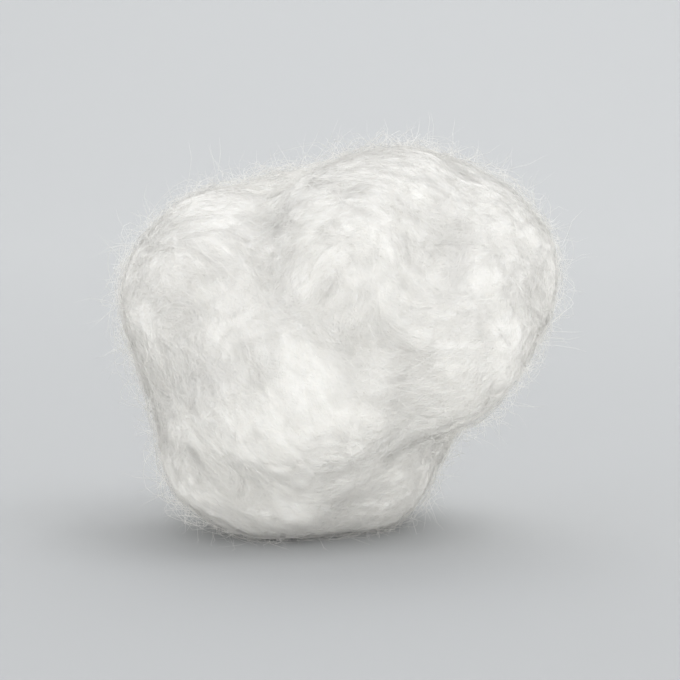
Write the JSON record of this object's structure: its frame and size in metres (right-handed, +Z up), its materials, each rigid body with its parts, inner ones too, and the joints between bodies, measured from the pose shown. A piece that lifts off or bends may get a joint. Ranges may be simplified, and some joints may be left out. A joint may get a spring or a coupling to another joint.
{
  "type": "cotton ball",
  "caption": "Soft, uneven ball of white carded cotton wool with round puffs, shallow creases and a small flat resting spot, for dabbing, wiping and cleaning.",
  "frame": {"origin": "under the middle of the ball's bounding box, on the surface that the ball rests on", "axes": "+X to the right as seen in the picture, along the ball's longest side; -Y towards the picture's camera; +Z up, along its shortest side"},
  "size_m": [0.0364, 0.0328, 0.0322],
  "materials": {
    "cotton": "matte"
  },
  "bodies": {
    "root": {"cotton_ball": "cotton"}
  },
  "joints": []
}
